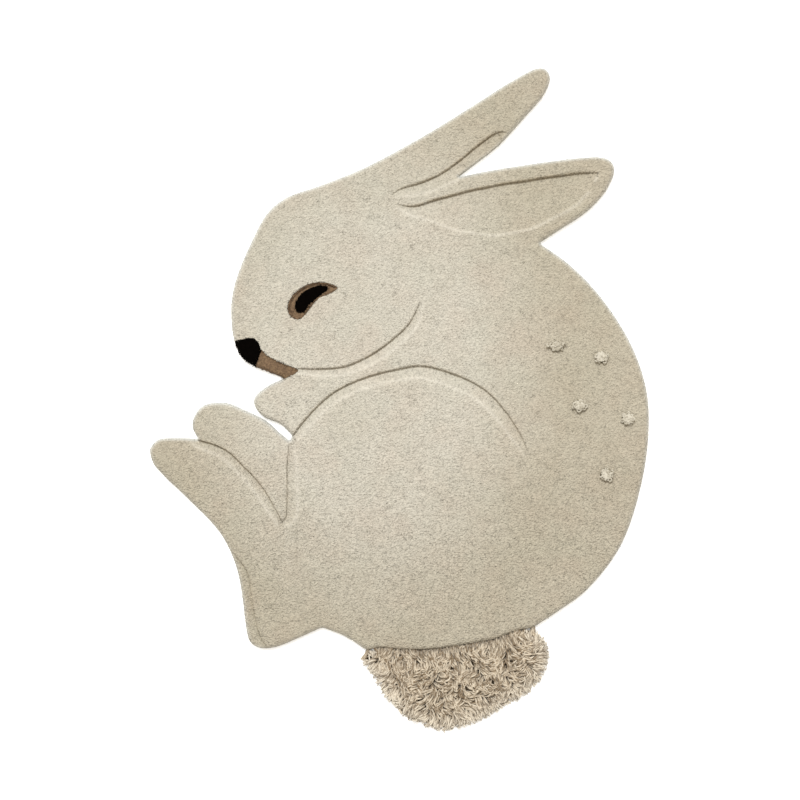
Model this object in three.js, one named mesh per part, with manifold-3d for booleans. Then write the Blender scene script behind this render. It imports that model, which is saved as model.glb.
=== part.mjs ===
// A child's floor rug in the shape of a rabbit lying curled up, hand-tufted in short wool pile.
// The nose, the muzzle and the eye are fields of darker yarn set in the pale pile. The tail is
// long shag with loose locks at its rim, and five knots of longer yarn stand on the back.
// The parting lines between the limbs are channels shorn into the pile: one steep side, and a
// floor that climbs away from it.
// Millimetres. The rug lies flat: +Z up, +Y towards the ear tips, +X towards the rabbit's back.

import * as THREE from 'three';
import { mergeVertices } from 'three/addons/utils/BufferGeometryUtils.js';
import Module from 'manifold-3d';

const wasm = await Module();
wasm.setup();

// Driving sizes

const pileTop = 15; // backing and cut pile together
const backingTop = 3; // the woven backing that every field of yarn stands on
const fieldGap = 0.3; // between neighbouring fields of yarn
const rimWidth = 7.5; // how far in the cut pile rounds over at the rug's edge
const rimHeight = 10;
const rimSteps = 4;
const notchRadius = 4; // the sharp inward corners of the outline
const sampleStep = 1.5; // spacing at which curves are first sampled
const outlineError = 0.16; // how far a straight facet may leave its curve
const cornerSteps = 4;
const shortestMitre = 0.6; // keeps an inset from running far out at a sharp corner
const weld = 1e-4;
const cutClearance = 4; // how far a cutter stands above the pile

const darkFieldDrop = 2; // the darker yarns are shorn lower than the pale pile
const noseDrop = 1;
const channelLean = 0.8; // the steep side of a channel, from its foot to its lip
const lipSpread = 1.2; // how far out its far side slopes for each unit that it rises
const channelStations = 4; // to each row of a channel's table

const tailTop = 23; // the crown of the shag
const tailEdgeTop = 9;
const tailRoundness = 2.6; // 2 would be a parabola, more is flatter in the middle
const tailRings = 8;
const tailRays = 68;
const tailTuck = 18; // how far the shag is drawn under the rump before the rump cuts it off
const lump = { height: 1.6, length: 69, breadth: 57, sway: 1.3, swayLength: 107, atRim: 0.3 };

const lockCount = 64;
const lockReach = 12; // how far a rim lock stands out of the shag
const lockRoot = 10; // how deep it is rooted in the shag
const lockWidth = 9;
const lockThickness = 7;
const lockTop = 0.5; // its upper side, as a share of the lower one
const lockStray = 3; // how much longer or shorter than its neighbours a lock may be
const lockSwing = 0.35; // radians to either side of straight out

const knotStem = 8; // radius of a knot's yarn bundle where it comes up through the pile
const knotRise = 10; // how far a knot's head stands above the pile
const knotSides = 18;
const knotLobes = 5;
const knotLump = 0.1;

// Tables. Every place is measured from the middle of the rug's outline.

const rows = (columns, table) =>
  table.map((row) => Object.fromEntries(columns.map((column, i) => [column, row[i]])));

// The rug's outline, clockwise from the chin. Each stretch is one smooth curve that starts where
// the one before it ends, and the outline turns sharply between two stretches.
const outlineStretches = {
  headAndFarEar: rows(['x', 'y'], [
    [-215, 45], [-240, 55], [-259, 68], [-274, 98], [-279, 138], [-277, 173], [-266, 213],
    [-245, 261], [-220, 307], [-188, 334], [-132, 354], [-62, 382], [34, 433], [133, 494],
    [187, 528], [229, 548.5], [243, 546], [249.5, 533], [240, 506], [209, 469], [165, 421],
    [129.5, 392.5], [97, 368],
  ]),
  nearEar: rows(['x', 'y'], [
    [150, 379], [233, 392], [299, 400], [334, 401], [350, 394.5], [356, 380], [341, 344],
    [308, 309], [266, 281], [232, 259],
  ]),
  back: rows(['x', 'y'], [
    [283, 222], [337, 165], [385, 88], [409, 17], [413, -51], [400, -144], [366, -243],
    [308, -318], [263, -351], [221, -379],
  ]),
  rumpUnderTail: rows(['x', 'y'], [
    [191, -385], [158, -398], [109, -407], [51, -415], [1, -415], [-32, -412], [-54, -416],
  ]),
  belly: rows(['x', 'y'], [
    [-90, -393], [-128, -378],
  ]),
  legAndFarFoot: rows(['x', 'y'], [
    [-168, -396], [-206, -411], [-231, -412], [-248, -401], [-255, -373], [-262, -316],
    [-273, -270], [-298, -220], [-351, -164], [-390, -127], [-409, -104], [-413, -82],
    [-400, -67], [-371, -64], [-333, -66],
  ]),
  nearFoot: rows(['x', 'y'], [
    [-343, -46], [-340, -28], [-324, -10], [-288, -6], [-258, -17], [-221, -36], [-196, -58],
    [-182, -69],
  ]),
  bellyInGap: rows(['x', 'y'], [
    [-177, -60],
  ]),
  paw: rows(['x', 'y'], [
    [-196, -42], [-225, -29], [-239, -13], [-241, 0], [-233, 11], [-215, 24], [-190, 35],
  ]),
};

// The free edge of the tail's shag, clockwise from the rump to the belly.
const tailEdge = rows(['x', 'y'], [
  [219, -377], [233, -389], [243, -404], [247, -427], [241, -452], [230, -472], [202, -496],
  [170, -512], [147, -528], [112, -541], [67, -548], [36, -540], [4, -524], [-25, -492],
  [-47, -459], [-63, -434], [-62, -422], [-54, -412],
]);
const tailMiddle = { x: 92, y: -444 };

// Channels. A row gives a place at the foot of the steep side, how wide the floor is from there,
// how deep it starts, and how deep it still is at its far side.
const channelColumns = ['x', 'y', 'width', 'depth', 'lip'];
const channels = {
  cheek: {
    floorOn: 'right',
    stations: rows(channelColumns, [
      [-168, 51, 8, 4, 0.8], [-128, 51, 11, 7, 1.4], [-90, 55, 12, 7, 1.6],
      [-49, 73, 13, 7, 1.6], [-11, 100, 13, 7, 1.6], [16, 126, 12, 6, 1.2],
      [27, 146, 10, 5, 0.8], [33, 160, 6, 2, 0.2],
    ]),
  },
  thigh: {
    floorOn: 'right',
    stations: rows(channelColumns, [
      [-178, -62, 10, 7, 1.2], [-163, -41, 12, 7, 1.6], [-138, -13, 13, 7, 1.6],
      [-104, 15, 14, 7, 1.7], [-49, 39, 15, 7, 1.8], [1, 51, 17, 7, 1.8],
      [34, 56, 19, 7, 1.8], [85, 44, 20, 7, 1.8], [137, 19, 20, 6, 1.7],
      [170, -13, 18, 6, 1.6], [200, -58, 15, 5, 1.2], [213, -88, 8, 1, 0.2],
    ]),
  },
  nearFootUnder: {
    floorOn: 'right',
    stations: rows(channelColumns, [
      [-346, -60, 3, 7, 2], [-333, -67, 9, 7, 1.8], [-311, -73, 13, 7, 1.4],
      [-284, -86, 13, 7, 1.4],
      [-258, -111, 13, 7, 1.4], [-235, -135, 13, 6, 1.4], [-215, -164, 13, 6, 1.2],
      [-194, -203, 9, 5, 0.8],
    ]),
  },
  nearFootInner: {
    floorOn: 'left',
    stations: rows(channelColumns, [
      [-183, -74, 8, 2, 0.5], [-186, -109, 14, 5, 1.6], [-186, -150, 15, 5, 1.8],
      [-187, -187, 16, 5, 1.6], [-189, -197, 14, 4, 1.2], [-195, -203, 8, 2, 0.3],
    ]),
  },
  thighFront: {
    floorOn: 'right',
    stations: rows(channelColumns, [
      [-171, -200, 8, 1, 0.1], [-170, -216, 16, 2, 0.2], [-170, -245, 16, 2, 0.2],
      [-170, -268, 14, 1.6, 0.1], [-171, -286, 8, 0.4, 0.1],
    ]),
  },
  farEarHollow: {
    floorOn: 'right',
    stations: rows(channelColumns, [
      [-11, 340, 8, 1, 0.1], [1, 348, 14, 4, 0.3], [36, 359, 19, 6, 0.3],
      [69, 374, 21, 6, 0.6], [99, 395, 26, 6, 2], [128, 419, 30, 6, 2.5],
      [156, 439, 28, 6, 2.5], [167, 443, 20, 4, 2], [178, 441, 10, 1, 0.3],
    ]),
  },
  nearEarHollow: {
    floorOn: 'right',
    stations: rows(channelColumns, [
      [-5, 322, 4, 1, 0.2], [24, 320, 16, 6, 2], [54, 329, 38, 6.5, 2.5], [84, 337, 58, 6.5, 2.5],
      [114, 345, 71, 6.5, 2.5], [143, 351, 79, 6.5, 2.5], [173, 357, 80, 6.5, 2.5],
      [203, 361, 78, 6.5, 2.5], [233, 366, 70, 6.5, 2.5], [263, 370, 60, 6.5, 2.5],
      [293, 374, 46, 6, 2.5], [313, 375, 30, 5, 2], [327, 375, 6, 3, 1],
    ]),
  },
  shin: {
    floorOn: 'right',
    stations: rows(channelColumns, [
      [-280, -246, 10, 1, 0.8], [-268, -263, 16, 4, 3], [-258, -276, 20, 5, 4],
      [-250, -291, 22, 5, 4], [-247, -308, 22, 5, 4], [-244, -336, 22, 5, 4],
      [-239, -361, 24, 5, 4], [-233, -386, 26, 5, 4], [-226, -401, 26, 4, 3.5],
      [-214, -416, 16, 2, 2],
    ]),
  },
};

// Fields of darker yarn. Where a field meets the rug's rim its outline runs on past the rim.
const noseOutline = rows(['x', 'y'], [
  [-273, 95], [-263, 98], [-240, 100], [-230, 82], [-235, 66], [-239, 54], [-264, 38], [-292, 78],
]);
const muzzleOutline = rows(['x', 'y'], [
  [-232, 83], [-218, 71], [-191, 58], [-168, 48], [-171, 44], [-190, 34.6], [-216, 34],
  [-242, 42], [-252, 62],
]);
const eyeOutline = rows(['x', 'y'], [
  [-185, 150], [-180, 167], [-162, 184], [-138, 193], [-115, 191], [-103, 184], [-115, 175],
  [-134, 167], [-148, 151], [-161, 135], [-171, 132], [-182, 140],
]);
const pupilOutline = rows(['x', 'y'], [
  [-173, 153], [-165, 171], [-149, 183], [-128, 188], [-118, 184], [-130, 173], [-149, 157],
  [-159, 144], [-168, 144],
]);

// Knots of longer yarn on the back: place, size of the head, and the way it is combed.
const knots = rows(['x', 'y', 'length', 'breadth', 'turn'], [
  [259, 88, 38, 20, -5], [334, 70, 29, 25, -25], [298, -10, 31, 25, -12], [377, -33, 28, 27, 30],
  [342, -124, 30, 31, 15],
]);

// Half of a knot turned on its stem. The share is of the stem's radius, or of the head's own
// half length and half breadth.
const knotProfile = rows(['part', 'share', 'z'], [
  ['stem', 0, backingTop + fieldGap], ['stem', 1, backingTop + fieldGap],
  ['stem', 1, pileTop + fieldGap], ['head', 0.89, pileTop + fieldGap],
  ['head', 1, pileTop + 0.25 * knotRise], ['head', 0.93, pileTop + 0.55 * knotRise],
  ['head', 0.67, pileTop + 0.84 * knotRise], ['head', 0.3, pileTop + knotRise],
  ['head', 0, pileTop + knotRise],
]);

// A lock of shag from its root to its point, as shares of its length, width and thickness.
const lockSections = rows(['along', 'width', 'thickness'], [
  [0, 1, 1], [0.5, 0.95, 0.9], [0.8, 0.6, 0.6], [1, 0.15, 0.25],
]);

const paleWool = { color: 0xcdc3ae, roughness: 0.95, metalness: 0 };
const blackWool = { color: 0x14120f, roughness: 0.95, metalness: 0 };
const brownWool = { color: 0x866f58, roughness: 0.95, metalness: 0 };
const shagWool = { color: 0xc2b298, roughness: 0.95, metalness: 0 };

// Curves and outlines

// Drops the points that lie within outlineError of a straight line between their neighbours.
function thinned(points) {
  if (points.length < 3) {
    return points;
  }
  const start = points[0];
  const end = points.at(-1);
  const chord = new THREE.Line3(
    new THREE.Vector3(start.x, start.y, 0),
    new THREE.Vector3(end.x, end.y, 0),
  );
  const nearest = new THREE.Vector3();
  let furthest = 0;
  let worst = 0;
  points.forEach((point, i) => {
    const place = new THREE.Vector3(point.x, point.y, 0);
    const distance = chord.closestPointToPoint(place, true, nearest).distanceTo(place);
    if (distance > furthest) {
      furthest = distance;
      worst = i;
    }
  });
  if (furthest < outlineError) {
    return [start, end];
  }
  return [...thinned(points.slice(0, worst + 1)).slice(0, -1), ...thinned(points.slice(worst))];
}

function sampled(table, closed = false) {
  const places = table.map(({ x, y }) => new THREE.Vector3(x, y, 0));
  const curve = new THREE.CatmullRomCurve3(places, closed, 'centripetal');
  const count = Math.max(2, Math.ceil(curve.getLength() / sampleStep));
  return curve.getSpacedPoints(count).map(({ x, y }) => new THREE.Vector2(x, y));
}

function anticlockwise(points) {
  return THREE.ShapeUtils.isClockWise(points) ? points.slice().reverse() : points;
}

// Joins the stretches, and rounds each corner between two of them.
function joined(stretches) {
  const tables = Object.values(stretches);
  const runs = tables.map((table, i) => sampled([tables.at(i - 1).at(-1), ...table]));
  const points = [];
  runs.forEach((run, i) => {
    const corner = run.at(-1);
    const isClear = (point) =>
      point.distanceTo(run[0]) >= notchRadius && point.distanceTo(corner) >= notchRadius;
    const kept = run.filter(isClear);
    const next = runs[(i + 1) % runs.length].find((p) => p.distanceTo(corner) >= notchRadius);
    const bend = new THREE.QuadraticBezierCurve(kept.at(-1), corner, next);
    points.push(...thinned(kept), ...bend.getPoints(cornerSteps).slice(1, -1));
  });
  return anticlockwise(points);
}

function ring(table) {
  const points = sampled(table, true);
  const half = Math.floor(points.length / 2);
  const halves = [points.slice(0, half + 1), points.slice(half)];
  return anticlockwise(halves.flatMap((run) => thinned(run).slice(0, -1)));
}

// Moves an anticlockwise outline inwards, or outwards where the distance is negative.
function inset(outline, distance) {
  return outline.map((point, i) => {
    const before = outline.at(i - 1);
    const after = outline[(i + 1) % outline.length];
    const inBefore = new THREE.Vector2(before.y - point.y, point.x - before.x).normalize();
    const inAfter = new THREE.Vector2(point.y - after.y, after.x - point.x).normalize();
    const inward = inBefore.clone().add(inAfter).normalize();
    const mitre = Math.max(shortestMitre, inward.dot(inBefore));
    return point.clone().addScaledVector(inward, distance / mitre);
  });
}

// Solids

function manifold(geometry) {
  const bare = geometry.clone();
  bare.deleteAttribute('normal');
  bare.deleteAttribute('uv');
  const whole = mergeVertices(bare, weld);
  const mesh = new wasm.Mesh({
    numProp: 3,
    vertProperties: new Float32Array(whole.attributes.position.array),
    triVerts: new Uint32Array(whole.index.array),
  });
  return new wasm.Manifold(mesh);
}

function solid(positions, faces) {
  const geometry = new THREE.BufferGeometry();
  geometry.setAttribute('position', new THREE.Float32BufferAttribute(positions, 3));
  geometry.setIndex(faces);
  return manifold(geometry);
}

// A closed body through outlines of equal length, one above the other, with flat ends.
function stacked(layers) {
  const count = layers[0].outline.length;
  const positions = layers.flatMap(({ outline, z }) => outline.flatMap(({ x, y }) => [x, y, z]));
  const faces = [];
  for (let layer = 0; layer < layers.length - 1; layer += 1) {
    for (let i = 0; i < count; i += 1) {
      const low = layer * count + i;
      const lowNext = layer * count + ((i + 1) % count);
      faces.push(low, lowNext, lowNext + count, low, lowNext + count, low + count);
    }
  }
  const top = (layers.length - 1) * count;
  THREE.ShapeUtils.triangulateShape(layers[0].outline, []).forEach(([a, b, c]) =>
    faces.push(a, c, b));
  THREE.ShapeUtils.triangulateShape(layers.at(-1).outline, []).forEach(([a, b, c]) =>
    faces.push(top + a, top + b, top + c));
  return solid(positions, faces);
}

function prism(outline, low, high) {
  return stacked([{ outline, z: low }, { outline, z: high }]);
}

// The whole rug before it is carved: a flat slab whose upper edge is rounded over.
function pileSlab(outline) {
  const layers = [{ outline, z: 0 }];
  for (let step = 0; step <= rimSteps; step += 1) {
    const turn = (step / rimSteps) * (Math.PI / 2);
    layers.push({
      outline: inset(outline, rimWidth * (1 - Math.cos(turn))),
      z: pileTop - rimHeight * (1 - Math.sin(turn)),
    });
  }
  return stacked(layers);
}

// The cutter of one channel: a wedge that is swept along the foot of its steep side.
function channelCutter({ floorOn, stations }) {
  const side = floorOn === 'right' ? 1 : -1;
  const places = stations.map(({ x, y }) => new THREE.Vector3(x, y, 0));
  const foot = new THREE.CatmullRomCurve3(places, false, 'centripetal');
  const spans = stations.length - 1;
  const count = spans * channelStations;
  const positions = [];
  for (let step = 0; step <= count; step += 1) {
    const along = step / count;
    const span = Math.min(Math.floor(along * spans), spans - 1);
    const share = along * spans - span;
    const size = (name) =>
      THREE.MathUtils.lerp(stations[span][name], stations[span + 1][name], share);
    const place = foot.getPoint(along);
    const ahead = foot.getTangent(along);
    const across = new THREE.Vector3(ahead.y, -ahead.x, 0).multiplyScalar(side);
    const corner = (distance, z) => {
      const point = place.clone().addScaledVector(across, distance);
      positions.push(point.x, point.y, z);
    };
    corner(0, pileTop - size('depth'));
    corner(-channelLean, pileTop + cutClearance);
    const lip = size('lip');
    corner(size('width') + lipSpread * (lip + cutClearance), pileTop + cutClearance);
    corner(size('width'), pileTop - lip);
  }
  const faces = [];
  const quad = (a, b, c, d) => faces.push(a, b, c, a, c, d);
  for (let step = 0; step < count; step += 1) {
    for (let i = 0; i < 4; i += 1) {
      const here = step * 4;
      const next = (i + 1) % 4;
      quad(here + i, here + next, here + 4 + next, here + 4 + i);
    }
  }
  quad(3, 2, 1, 0);
  quad(count * 4, count * 4 + 1, count * 4 + 2, count * 4 + 3);
  if (side < 0) {
    faces.reverse();
  }
  return solid(positions, faces);
}

// Uneven but repeatable: a value from -1 to 1 for each number and kind.
function uneven(number, kind) {
  return 2 * THREE.MathUtils.seededRandom(number * 10 + kind) - 1;
}

// One lock of shag at the tail's rim: four-sided, flat on the floor, and drawn down to a point.
function lock(root, outward, number) {
  const turn = outward.angle() + lockSwing * uneven(number, 1);
  const reach = lockRoot + lockReach + lockStray * uneven(number, 2);
  const ahead = new THREE.Vector2(Math.cos(turn), Math.sin(turn));
  const aside = new THREE.Vector2(-ahead.y, ahead.x);
  const positions = lockSections.flatMap(({ along, width, thickness }) => {
    const middle = root.clone().addScaledVector(ahead, along * reach - lockRoot);
    const half = (width * lockWidth) / 2;
    const place = (across, z) => {
      const point = middle.clone().addScaledVector(aside, across);
      return [point.x, point.y, z];
    };
    const top = thickness * lockThickness;
    return [...place(-half, 0), ...place(half, 0), ...place(half * lockTop, top),
      ...place(-half * lockTop, top)];
  });
  const faces = [];
  for (let section = 0; section < lockSections.length - 1; section += 1) {
    for (let i = 0; i < 4; i += 1) {
      const a = section * 4 + i;
      const b = section * 4 + ((i + 1) % 4);
      faces.push(a, b, b + 4, a, b + 4, a + 4);
    }
  }
  const last = (lockSections.length - 1) * 4;
  faces.push(0, 2, 1, 0, 3, 2, last, last + 1, last + 2, last, last + 2, last + 3);
  return solid(positions, faces);
}

// The lumpy slab of shag, from its floor up to a crown that is highest in the middle.
function shagSlab(outline) {
  const middle = new THREE.Vector2(tailMiddle.x, tailMiddle.y);
  const turns = (distance, length) => (distance / length) * 2 * Math.PI;
  const lumpAt = (x, y) => {
    const sway = lump.sway * Math.sin(turns(y, lump.swayLength));
    return lump.height * Math.sin(turns(x, lump.length) + sway) * Math.cos(turns(y, lump.breadth));
  };
  const positions = [];
  for (let ringAt = 1; ringAt <= tailRings; ringAt += 1) {
    const share = ringAt / tailRings;
    outline.forEach((rim) => {
      const { x, y } = middle.clone().lerp(rim, share);
      const crown = tailEdgeTop + (tailTop - tailEdgeTop) * (1 - share ** tailRoundness);
      positions.push(x, y, crown + lumpAt(x, y) * (share < 1 ? 1 : lump.atRim));
    });
  }
  outline.forEach(({ x, y }) => positions.push(x, y, 0));
  positions.push(middle.x, middle.y, tailTop, middle.x, middle.y, 0);
  const sides = outline.length;
  const crownPoint = (tailRings + 1) * sides;
  const faces = [];
  for (let i = 0; i < sides; i += 1) {
    const next = (i + 1) % sides;
    faces.push(crownPoint, i, next);
    for (let level = 0; level < tailRings; level += 1) {
      const inner = level * sides;
      const outer = inner + sides;
      faces.push(inner + i, outer + i, outer + next, inner + i, outer + next, inner + next);
    }
    faces.push(crownPoint + 1, tailRings * sides + next, tailRings * sides + i);
  }
  return solid(positions, faces);
}

function evenly(points, count) {
  const places = points.map(({ x, y }) => new THREE.Vector3(x, y, 0));
  const curve = new THREE.CatmullRomCurve3(places, true, 'centripetal');
  return curve.getSpacedPoints(count).slice(0, -1).map(({ x, y }) => new THREE.Vector2(x, y));
}

function shagTail() {
  const tucked = [
    { x: tailEdge.at(-1).x + tailTuck, y: tailEdge.at(-1).y + tailTuck },
    { x: tailEdge[0].x - tailTuck, y: tailEdge[0].y + tailTuck },
  ];
  const field = anticlockwise(evenly([...tailEdge, ...tucked], tailRays));
  let tail = shagSlab(inset(field, lockReach));
  const free = sampled(tailEdge);
  for (let number = 0; number < lockCount; number += 1) {
    const at = Math.round(((number + 0.5) / lockCount) * (free.length - 1));
    const edge = free[at];
    const along = free[Math.min(at + 2, free.length - 1)].clone().sub(free[Math.max(at - 2, 0)]);
    const outward = new THREE.Vector2(-along.y, along.x).normalize();
    const root = edge.clone().addScaledVector(outward, -lockReach);
    tail = tail.add(lock(root, outward, number));
  }
  return tail;
}

// A knot of longer yarn: a stem down through the pile to the backing, and a lumpy head.
function knot({ x, y, length, breadth, turn }, number) {
  const lathe = new THREE.LatheGeometry(
    knotProfile.map(({ share, z }) => new THREE.Vector2(share, z)),
    knotSides,
  );
  lathe.rotateX(Math.PI / 2);
  const places = lathe.attributes.position;
  for (let i = 0; i < places.count; i += 1) {
    const isHead = knotProfile[i % knotProfile.length].part === 'head';
    const angle = Math.atan2(places.getY(i), places.getX(i));
    const swell = 1 + knotLump * Math.sin(angle * knotLobes + number);
    const along = isHead ? (length / 2) * swell : knotStem;
    const aside = isHead ? (breadth / 2) * swell : knotStem;
    places.setXY(i, places.getX(i) * along, places.getY(i) * aside);
  }
  lathe.rotateZ(THREE.MathUtils.degToRad(turn));
  lathe.translate(x, y, 0);
  return manifold(lathe);
}

function knotHole({ x, y }) {
  const hole = new THREE.CylinderGeometry(
    knotStem + fieldGap,
    knotStem + fieldGap,
    pileTop,
    knotSides,
  );
  hole.rotateX(Math.PI / 2);
  hole.translate(x, y, backingTop + pileTop / 2);
  return manifold(hole);
}

// The pieces

const outline = joined(outlineStretches);
const slab = pileSlab(outline);
const aboveBacking = (shape, low = backingTop) => prism(shape, low, pileTop + cutClearance);
const pocket = (shape) => aboveBacking(inset(shape, -fieldGap));

const nose = ring(noseOutline);
const muzzle = ring(muzzleOutline);
const eye = ring(eyeOutline);
const pupil = ring(pupilOutline);

function rugBody() {
  let body = slab;
  for (const channel of Object.values(channels)) {
    body = body.subtract(channelCutter(channel));
  }
  for (const field of [nose, muzzle, eye]) {
    body = body.subtract(pocket(field));
  }
  for (const row of knots) {
    body = body.subtract(knotHole(row));
  }
  return body;
}

function darkField(shape, drop) {
  return slab.intersect(prism(shape, backingTop + fieldGap, pileTop - drop));
}

const pieces = [
  { name: 'rug_body', solid: rugBody(), wool: paleWool },
  { name: 'nose', solid: darkField(nose, noseDrop), wool: blackWool },
  {
    name: 'muzzle',
    solid: darkField(muzzle, darkFieldDrop).subtract(pocket(nose)),
    wool: brownWool,
  },
  {
    name: 'eye_surround',
    solid: darkField(eye, darkFieldDrop).subtract(pocket(pupil)),
    wool: brownWool,
  },
  { name: 'eye_pupil', solid: darkField(pupil, darkFieldDrop), wool: blackWool },
  {
    name: 'tail_shag',
    solid: shagTail().subtract(prism(inset(outline, -fieldGap), -cutClearance, 3 * pileTop)),
    wool: shagWool,
  },
  ...knots.map((row, i) => ({ name: `back_knot_${i + 1}`, solid: knot(row, i), wool: paleWool })),
];

const rug = new THREE.Group();
for (const { name, solid, wool } of pieces) {
  const { vertProperties, triVerts } = solid.getMesh();
  const geometry = new THREE.BufferGeometry();
  geometry.setAttribute('position', new THREE.BufferAttribute(vertProperties, 3));
  geometry.setIndex(new THREE.BufferAttribute(triVerts, 1));
  const mesh = new THREE.Mesh(geometry, new THREE.MeshStandardMaterial(wool));
  mesh.name = name;
  rug.add(mesh);
}

// The origin is on the floor, under the middle of the rug's box.
const box = new THREE.Box3().setFromObject(rug);
const middle = box.getCenter(new THREE.Vector3());
rug.position.set(-middle.x, -middle.y, -box.min.z);

export default rug;
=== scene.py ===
"""A child's floor rug in the shape of a rabbit lying curled up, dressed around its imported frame.

Metres, in the frame's own axes: +Z up out of the pile, +Y towards the ear tips, +X towards the
rabbit's back. Each piece takes its outline and its height from the solid that it stands for, so
nothing here repeats the rug's own drawing.
"""

import math

import bmesh
import bpy
import numpy as np
from bpy.props import FloatProperty, FloatVectorProperty, IntProperty, PointerProperty
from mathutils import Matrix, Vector, geometry, kdtree, noise
from mathutils.bvhtree import BVHTree


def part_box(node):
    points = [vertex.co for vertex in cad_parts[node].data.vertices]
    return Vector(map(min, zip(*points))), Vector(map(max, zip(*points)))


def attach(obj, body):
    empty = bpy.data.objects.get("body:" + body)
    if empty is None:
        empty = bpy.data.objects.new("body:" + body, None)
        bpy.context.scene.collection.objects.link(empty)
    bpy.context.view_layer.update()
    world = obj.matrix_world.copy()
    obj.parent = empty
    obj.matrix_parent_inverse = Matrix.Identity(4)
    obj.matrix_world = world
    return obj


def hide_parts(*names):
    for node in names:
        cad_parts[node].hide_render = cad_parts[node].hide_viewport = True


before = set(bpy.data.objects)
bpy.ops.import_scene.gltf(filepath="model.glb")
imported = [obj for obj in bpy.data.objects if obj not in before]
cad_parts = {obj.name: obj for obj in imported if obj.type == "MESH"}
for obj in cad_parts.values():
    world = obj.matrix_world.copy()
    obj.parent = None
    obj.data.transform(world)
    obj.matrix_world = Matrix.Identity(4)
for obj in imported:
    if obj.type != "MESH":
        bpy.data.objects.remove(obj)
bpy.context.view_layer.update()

bl_info = {
    "name": "Rabbit rug",
    "version": (1, 0, 0),
    "blender": (4, 5, 0),
    "location": "View3D > Sidebar > Rabbit rug",
    "description": "Dresses a rabbit shaped floor rug in wool pile, shag and knots",
    "category": "Add Mesh",
}

MM = 0.001
SEED = 7
KNOTS = sorted(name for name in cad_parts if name.startswith("back_knot"))

# How the solids are read
WELD = 0.002 * MM  # points nearer than this are one point
BACKING = 3 * MM  # the woven ground under the pile
PILE = 15 * MM  # the shorn surface over the floor
SHARP = math.radians(30)  # an edge that turns more than this is a crease of the pile
STEEP = math.radians(60)  # and one that turns more than this borders a steep side
LEVEL = 0.99  # a face whose normal is at least this far up or down is level
LEVEL_BAND = 0.05 * MM  # and it lies no further than this off its height
CLIMB = 0.7  # an edge that rises more than this share of its length runs down a steep side
LIP_BAND = 0.4 * MM  # a channel's lip lies no further under the shorn surface
LIP_STEP = 3.5 * MM  # how far beside a lip its drop is read
LIP_DROP = 1.4 * MM  # a lip that drops this far there is splayed in full
FOLD_DEPTH = 7 * MM  # a fold this far down takes its painted shade in full
CREASE_GAP = 0.3 * MM  # points on the creases keep about this far apart
ABOVE = 1.0  # higher than anything here

# How the pieces are made
HEX_ROW = math.sqrt(3) / 2  # from row to row of an even scatter, in pitches
SHAKE = 0.27  # how far a scattered point leaves its place, in pitches
CLEAR = 0.55  # scattered points keep this far from a crease, in pitches
RING_GAP = 0.5 * MM  # and a crease's points keep this far from a rim
RIM_INSET = 0.15 * MM  # a rim's height is read this far inside its ring
FLOOR_INSET = 0.25 * MM  # and the pile's foot lies this far inside a socket's floor
RIM_PILE = 5 * MM  # the height over which the pile turns over at a rim
WAIST = 0.45  # a rim's side is bent at this share of its height
SUNK = 0.4 * MM  # how far a yarn end's foot is sunk in the ground
UPRIGHT = 0.4  # how far a yarn end stands up rather than out from its slope
SIDES = 4  # sides of a shag yarn
COMBED = 34 * MM  # the locks are combed outwards within this of the tail's rim
EARS = 290 * MM  # ears lie beyond this; the channels there are cut narrow, with full painted shade
GOLDEN = 0.381966  # the golden angle, in turns
EYE_PARTING = (3.4 * MM, 1.6 * MM, 3.4 * MM, (-0.45, 0.9))  # inset, width, depth and way

# Where each unevenness is read in the noise, so that no two run alike
TUFT_SEED, LUMP_SEED, FOLD_SEED, SWIRL_SEED, TOOTH_SEED = 1.0, 2.0, 4.0, 5.0, 7.0
LEAN_SEEDS = (3.0, 9.0)


def linear(colour):
    """An sRGB colour from the settings, as the linear one that a shader takes."""
    channels = [c / 12.92 if c <= 0.04045 else ((c + 0.055) / 1.055) ** 2.4 for c in colour]
    return (*channels, 1.0)


def from_hex(text):
    """The sRGB channels of a hex colour."""
    return tuple(int(text[at : at + 2], 16) / 255 for at in (1, 3, 5))


def colour_setting(name, text, description):
    """A colour that can be set, from its hex text."""
    return FloatVectorProperty(
        name=name, description=description, default=from_hex(text), size=3, min=0, max=1,
        subtype="COLOR_GAMMA",
    )


def length_setting(name, size_mm, description):
    """A length that can be set, from its size in millimetres."""
    return FloatProperty(
        name=name, description=description, default=size_mm * MM, min=0, unit="LENGTH",
        subtype="DISTANCE", precision=4,
    )


def angle_setting(name, angle, description):
    """An angle that can be set, from its size in radians."""
    return FloatProperty(name=name, description=description, default=angle, subtype="ANGLE")


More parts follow.
